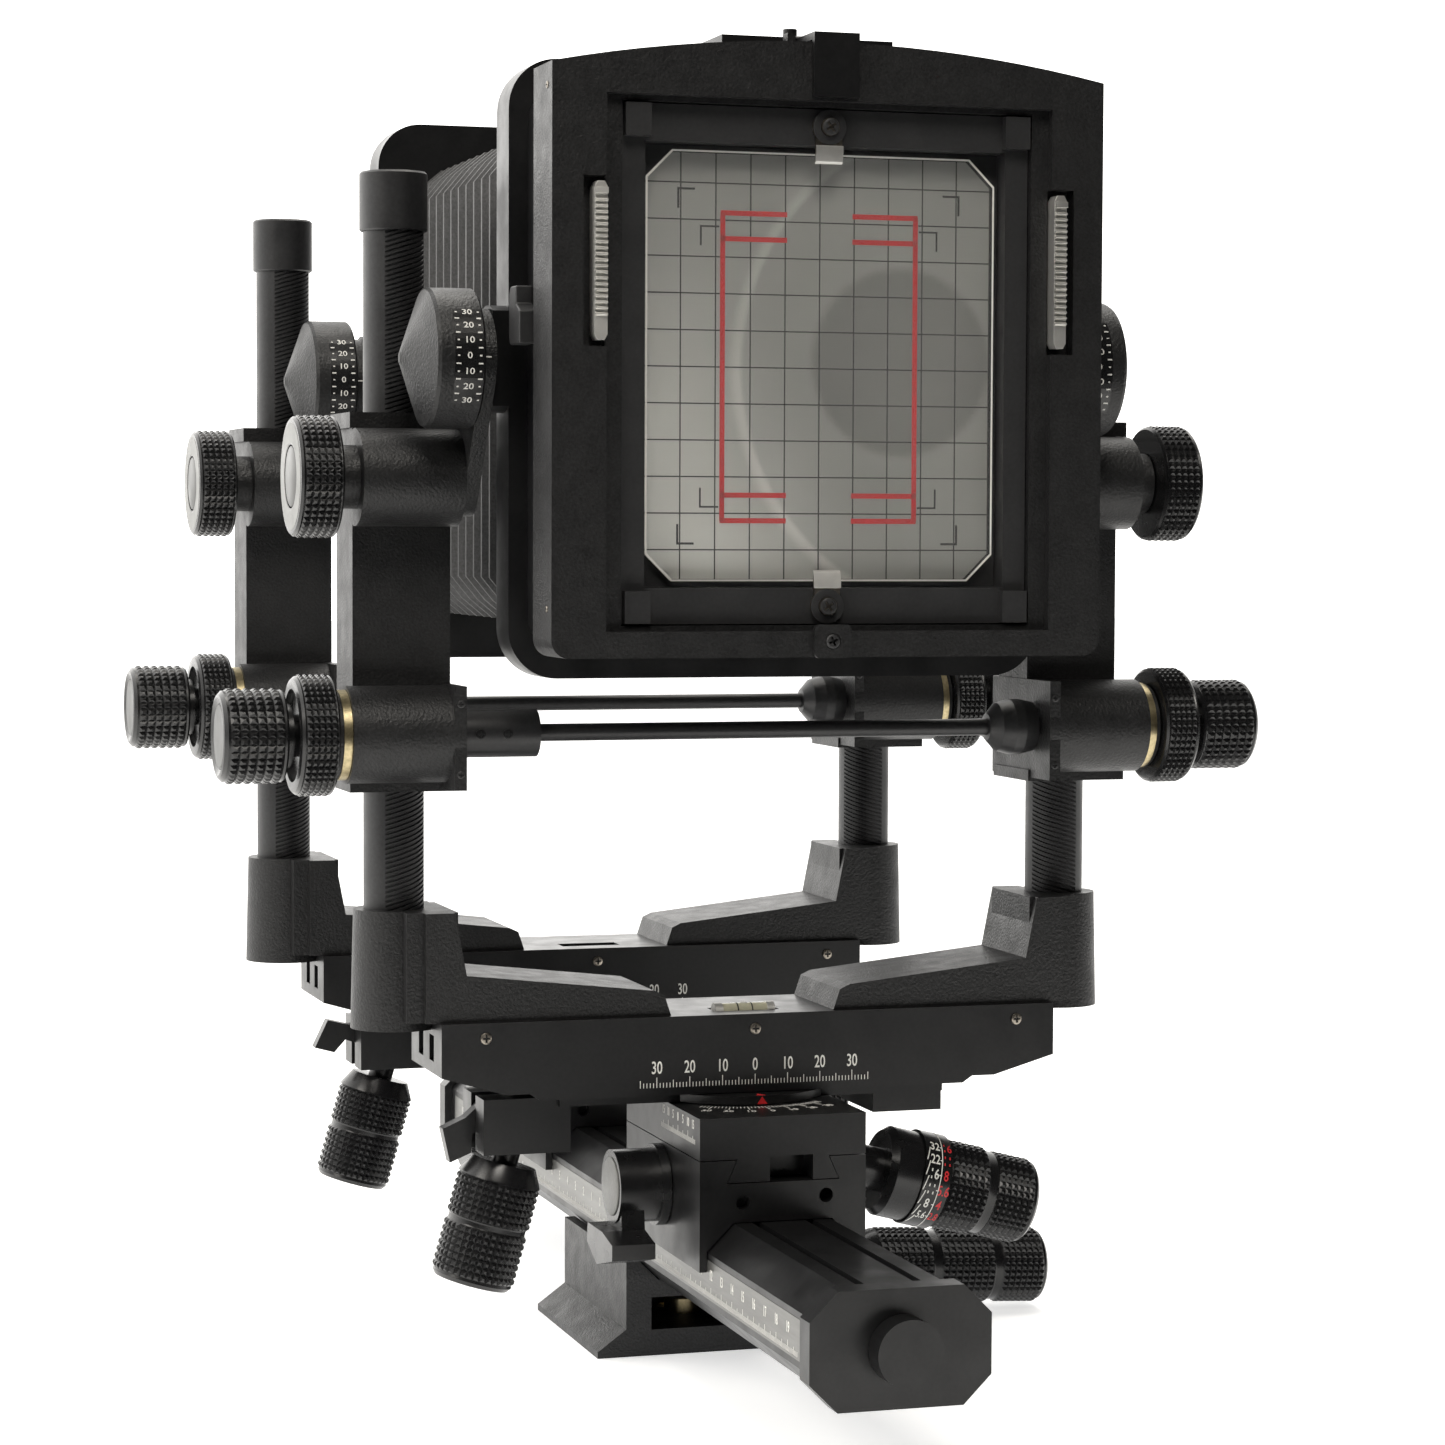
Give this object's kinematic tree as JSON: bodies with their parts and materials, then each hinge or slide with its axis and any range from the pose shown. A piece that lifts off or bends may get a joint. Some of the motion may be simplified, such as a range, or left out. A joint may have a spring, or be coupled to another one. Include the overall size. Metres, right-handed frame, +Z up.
{
  "type": "view camera",
  "caption": "Large-format studio view camera on a monorail, with two geared standards, pleated bellows, spring back, ground glass and a lens.",
  "frame": {"origin": "centre of the tripod socket's mouth in the flat base of the rail clamp", "axes": "+X to the right seen from behind, +Y from the ground glass to the lens, +Z up"},
  "size_m": [0.3146, 0.448, 0.3925],
  "materials": {
    "textured_paint": "fine textured satin black paint",
    "black_anodised": "satin black anodising",
    "gloss_black": "gloss black anodising",
    "black_plastic": "matte",
    "bellows_cloth": "pleated light-tight cloth",
    "bright_metal": "satin nickel",
    "brass": "satin",
    "ground_glass": "finely ground",
    "clear_plastic": "clear fresnel grooves",
    "lens_glass": "coated"
  },
  "bodies": {
    "clamp": {"clamp_block": "textured_paint", "socket_bush": "brass"},
    "clamp_screw": {"clamp_knob": "gloss_black"},
    "rail": {"rail_tube": "black_anodised", "rail_end_caps": "black_anodised"},
    "rail_screw_rear_body": {"rail_screw_rear": "black_anodised"},
    "rail_screw_front_body": {"rail_screw_front": "black_anodised"},
    "rear_carriage_body": {"rear_carriage": "black_anodised"},
    "rear_carriage_lock_body": {"rear_carriage_lock": "gloss_black"},
    "rear_focus_body": {"rear_focus_slide": "black_anodised"},
    "rear_focus_drive_body": {"rear_focus_knob": "gloss_black"},
    "rear_swing_body": {"rear_swing_plate": "black_anodised"},
    "rear_swing_lever_body": {"rear_swing_lock": "black_anodised"},
    "rear_shift_body": {"rear_cross_bar": "black_anodised", "rear_bar_feet": "textured_paint", "rear_posts": "black_anodised", "rear_bubble_level": "clear_plastic"},
    "rear_shift_drive_body": {"rear_shift_knob": "gloss_black"},
    "rear_rise_body": {"rear_arms": "textured_paint", "rear_tilt_drums": "textured_paint"},
    "rear_rise_drive_body": {"rear_cross_shaft": "gloss_black", "rear_rise_knobs": "gloss_black"},
    "rear_rise_lock_left_body": {"rear_rise_lock_left": "gloss_black"},
    "rear_tilt_knob_left_body": {"rear_tilt_knob_left": "gloss_black"},
    "rear_rise_lock_right_body": {"rear_rise_lock_right": "gloss_black"},
    "rear_tilt_knob_right_body": {"rear_tilt_knob_right": "gloss_black"},
    "rear_tilt_body": {"rear_frame": "black_anodised", "back_frame": "textured_paint", "accessory_shoe": "black_anodised", "bellows": "bellows_cloth"},
    "front_carriage_body": {"front_carriage": "black_anodised"},
    "front_carriage_lock_body": {"front_carriage_lock": "gloss_black"},
    "front_focus_body": {"front_focus_slide": "black_anodised"},
    "front_focus_drive_body": {"front_focus_knob": "gloss_black"},
    "front_swing_body": {"front_swing_plate": "black_anodised"},
    "front_swing_lever_body": {"front_swing_lock": "black_anodised"},
    "front_shift_body": {"front_cross_bar": "black_anodised", "front_bar_feet": "textured_paint", "front_posts": "black_anodised"},
    "front_shift_drive_body": {"front_shift_knob": "gloss_black"},
    "front_rise_body": {"front_arms": "textured_paint", "front_tilt_drums": "textured_paint"},
    "front_rise_drive_body": {"front_cross_shaft": "gloss_black", "front_rise_knobs": "gloss_black"},
    "front_rise_lock_left_body": {"front_rise_lock_left": "gloss_black"},
    "front_tilt_knob_left_body": {"front_tilt_knob_left": "gloss_black"},
    "front_rise_lock_right_body": {"front_rise_lock_right": "gloss_black"},
    "front_tilt_knob_right_body": {"front_tilt_knob_right": "gloss_black"},
    "front_tilt_body": {"front_frame": "black_anodised", "lens_board": "black_anodised", "lens_barrel": "black_anodised", "lens_glass": "lens_glass"},
    "dof_ring_body": {"rear_dof_ring": "gloss_black"},
    "glass_holder": {"glass_carrier": "black_plastic", "ground_glass": "ground_glass", "fresnel_screen": "clear_plastic", "glass_clips": "bright_metal"},
    "release_left_body": {"release_left": "bright_metal"},
    "release_right_body": {"release_right": "bright_metal"},
    "catch_body": {"back_catch": "black_anodised"}
  },
  "joints": [
    {"name": "clamp_screw_turn", "type": "hinge", "parent": "clamp", "child": "clamp_screw", "pos_m": [0.025, 0, 0.0186], "axis": [0.9986, 0, -0.0523], "range_deg": [-180, 0]},
    {"name": "rail_slide", "type": "slide", "parent": "clamp", "child": "rail", "axis": [0, 1, 0], "range_m": [-0.08, 0.08]},
    {"name": "rail_screw_rear_turn", "type": "hinge", "parent": "rail", "child": "rail_screw_rear_body", "pos_m": [0, -0.213, 0.039], "axis": [0, 1, 0], "continuous": true},
    {"name": "rail_screw_front_turn", "type": "hinge", "parent": "rail", "child": "rail_screw_front_body", "pos_m": [0, 0.218, 0.039], "axis": [0, 1, 0], "continuous": true},
    {"name": "rear_carriage_slide", "type": "slide", "parent": "rail", "child": "rear_carriage_body", "axis": [0, 1, 0], "range_m": [-0.085, 0.035], "deforming": ["bellows"]},
    {"name": "rear_carriage_lock_turn", "type": "hinge", "parent": "rear_carriage_body", "child": "rear_carriage_lock_body", "pos_m": [-0.025, -0.0755, 0.06], "axis": [1, 0, 0], "range_deg": [0, 45]},
    {"name": "rear_focus", "type": "slide", "parent": "rear_carriage_body", "child": "rear_focus_body", "axis": [0, 1, 0], "range_m": [-0.015, 0.015], "deforming": ["bellows"]},
    {"name": "rear_focus_knob_turn", "type": "hinge", "parent": "rear_carriage_body", "child": "rear_focus_drive_body", "pos_m": [0.0253, -0.0755, 0.0655], "axis": [0.9681, 0, -0.2504], "range_deg": [-270, 270]},
    {"name": "rear_swing", "type": "hinge", "parent": "rear_focus_body", "child": "rear_swing_body", "pos_m": [0, -0.067, 0.08], "axis": [0, 0, 1], "range_deg": [-30, 30], "deforming": ["bellows"]},
    {"name": "rear_swing_lock_turn", "type": "hinge", "parent": "rear_swing_body", "child": "rear_swing_lever_body", "pos_m": [-0.076, -0.067, 0.082], "axis": [0, 1, 0], "range_deg": [0, 38]},
    {"name": "rear_shift", "type": "slide", "parent": "rear_swing_body", "child": "rear_shift_body", "axis": [1, 0, 0], "range_m": [-0.03, 0.03], "deforming": ["bellows"]},
    {"name": "rear_shift_knob_turn", "type": "hinge", "parent": "rear_swing_body", "child": "rear_shift_drive_body", "pos_m": [-0.07, -0.068, 0.071], "axis": [0.2756, 0, 0.9613], "range_deg": [-215, 215]},
    {"name": "rear_rise", "type": "slide", "parent": "rear_shift_body", "child": "rear_rise_body", "axis": [0, 0, 1], "range_m": [-0.028, 0.048], "deforming": ["bellows"]},
    {"name": "rear_rise_shaft_turn", "type": "hinge", "parent": "rear_rise_body", "child": "rear_rise_drive_body", "pos_m": [0, -0.082, 0.194], "axis": [1, 0, 0], "range_deg": [-310, 182]},
    {"name": "rear_rise_lock_left_turn", "type": "hinge", "parent": "rear_rise_body", "child": "rear_rise_lock_left_body", "pos_m": [-0.1252, -0.082, 0.194], "axis": [1, 0, 0], "range_deg": [-90, 90]},
    {"name": "rear_rise_lock_right_turn", "type": "hinge", "parent": "rear_rise_body", "child": "rear_rise_lock_right_body", "pos_m": [0.1252, -0.082, 0.194], "axis": [1, 0, 0], "range_deg": [-90, 90]},
    {"name": "rear_tilt", "type": "hinge", "parent": "rear_rise_body", "child": "rear_tilt_body", "pos_m": [0, -0.1, 0.3], "axis": [1, 0, 0], "range_deg": [-30, 30], "deforming": ["bellows"]},
    {"name": "rear_tilt_drive_turn", "type": "hinge", "parent": "rear_rise_body", "child": "rear_tilt_knob_left_body", "pos_m": [-0.124, -0.082, 0.267], "axis": [1, 0, 0], "range_deg": [-250, 250]},
    {"name": "rear_tilt_lock_turn", "type": "hinge", "parent": "rear_rise_body", "child": "rear_tilt_knob_right_body", "pos_m": [0.124, -0.082, 0.267], "axis": [1, 0, 0], "range_deg": [-90, 90]},
    {"name": "front_carriage_slide", "type": "slide", "parent": "rail", "child": "front_carriage_body", "axis": [0, 1, 0], "range_m": [-0.035, 0.07], "deforming": ["bellows"]},
    {"name": "front_carriage_lock_turn", "type": "hinge", "parent": "front_carriage_body", "child": "front_carriage_lock_body", "pos_m": [-0.025, 0.1005, 0.06], "axis": [1, 0, 0], "range_deg": [0, 45]},
    {"name": "front_focus", "type": "slide", "parent": "front_carriage_body", "child": "front_focus_body", "axis": [0, 1, 0], "range_m": [-0.015, 0.015], "deforming": ["bellows"]},
    {"name": "front_focus_knob_turn", "type": "hinge", "parent": "front_carriage_body", "child": "front_focus_drive_body", "pos_m": [0.0253, 0.1005, 0.0655], "axis": [0.9681, 0, -0.2504], "range_deg": [-270, 270]},
    {"name": "front_swing", "type": "hinge", "parent": "front_focus_body", "child": "front_swing_body", "pos_m": [0, 0.109, 0.08], "axis": [0, 0, 1], "range_deg": [-30, 30], "deforming": ["bellows"]},
    {"name": "front_swing_lock_turn", "type": "hinge", "parent": "front_swing_body", "child": "front_swing_lever_body", "pos_m": [-0.076, 0.109, 0.082], "axis": [0, 1, 0], "range_deg": [-38, 0]},
    {"name": "front_shift", "type": "slide", "parent": "front_swing_body", "child": "front_shift_body", "axis": [1, 0, 0], "range_m": [-0.03, 0.03], "deforming": ["bellows"]},
    {"name": "front_shift_knob_turn", "type": "hinge", "parent": "front_swing_body", "child": "front_shift_drive_body", "pos_m": [-0.07, 0.108, 0.071], "axis": [0.2756, 0, 0.9613], "range_deg": [-215, 215]},
    {"name": "front_rise", "type": "slide", "parent": "front_shift_body", "child": "front_rise_body", "axis": [0, 0, 1], "range_m": [-0.028, 0.048], "deforming": ["bellows"]},
    {"name": "front_rise_shaft_turn", "type": "hinge", "parent": "front_rise_body", "child": "front_rise_drive_body", "pos_m": [0, 0.094, 0.194], "axis": [1, 0, 0], "range_deg": [-310, 182]},
    {"name": "front_rise_lock_left_turn", "type": "hinge", "parent": "front_rise_body", "child": "front_rise_lock_left_body", "pos_m": [-0.1252, 0.094, 0.194], "axis": [1, 0, 0], "range_deg": [-90, 90]},
    {"name": "front_rise_lock_right_turn", "type": "hinge", "parent": "front_rise_body", "child": "front_rise_lock_right_body", "pos_m": [0.1252, 0.094, 0.194], "axis": [1, 0, 0], "range_deg": [-90, 90]},
    {"name": "front_tilt", "type": "hinge", "parent": "front_rise_body", "child": "front_tilt_body", "pos_m": [0, 0.076, 0.3], "axis": [1, 0, 0], "range_deg": [-30, 30], "deforming": ["bellows"]},
    {"name": "front_tilt_drive_turn", "type": "hinge", "parent": "front_rise_body", "child": "front_tilt_knob_left_body", "pos_m": [-0.124, 0.094, 0.267], "axis": [1, 0, 0], "range_deg": [-250, 250]},
    {"name": "front_tilt_lock_turn", "type": "hinge", "parent": "front_rise_body", "child": "front_tilt_knob_right_body", "pos_m": [0.124, 0.094, 0.267], "axis": [1, 0, 0], "range_deg": [-90, 90]},
    {"name": "rear_dof_ring_turn", "type": "hinge", "parent": "rear_carriage_body", "child": "dof_ring_body", "pos_m": [0.0253, -0.0755, 0.0655], "axis": [0.9681, 0, -0.2504], "range_deg": [-60, 60]},
    {"name": "spring_back", "type": "slide", "parent": "rear_tilt_body", "child": "glass_holder", "axis": [0, -1, 0], "range_m": [0, 0.008], "stiffness_N_per_m": 300},
    {"name": "release_left_press", "type": "slide", "parent": "rear_tilt_body", "child": "release_left_body", "axis": [-1, 0, 0], "range_m": [0, 0.002], "stiffness_N_per_m": 200},
    {"name": "release_right_press", "type": "slide", "parent": "rear_tilt_body", "child": "release_right_body", "axis": [1, 0, 0], "range_m": [0, 0.002], "stiffness_N_per_m": 200},
    {"name": "back_catch_turn", "type": "hinge", "parent": "rear_tilt_body", "child": "catch_body", "pos_m": [0, -0.139, 0.3868], "axis": [-1, 0, 0], "range_deg": [0, 60], "stiffness_Nm_per_rad": 0.05}
  ],
  "couplings": [
    {"joint": "rear_focus_knob_turn", "follows": "rear_focus", "rad_per_m": -314},
    {"joint": "rear_shift_knob_turn", "follows": "rear_shift", "rad_per_m": 125},
    {"joint": "rear_rise_shaft_turn", "follows": "rear_rise", "rad_per_m": -112.36},
    {"joint": "rear_tilt_drive_turn", "follows": "rear_tilt", "ratio": 8},
    {"joint": "front_focus_knob_turn", "follows": "front_focus", "rad_per_m": -314},
    {"joint": "front_shift_knob_turn", "follows": "front_shift", "rad_per_m": 125},
    {"joint": "front_rise_shaft_turn", "follows": "front_rise", "rad_per_m": -112.36},
    {"joint": "front_tilt_drive_turn", "follows": "front_tilt", "ratio": 8}
  ]
}
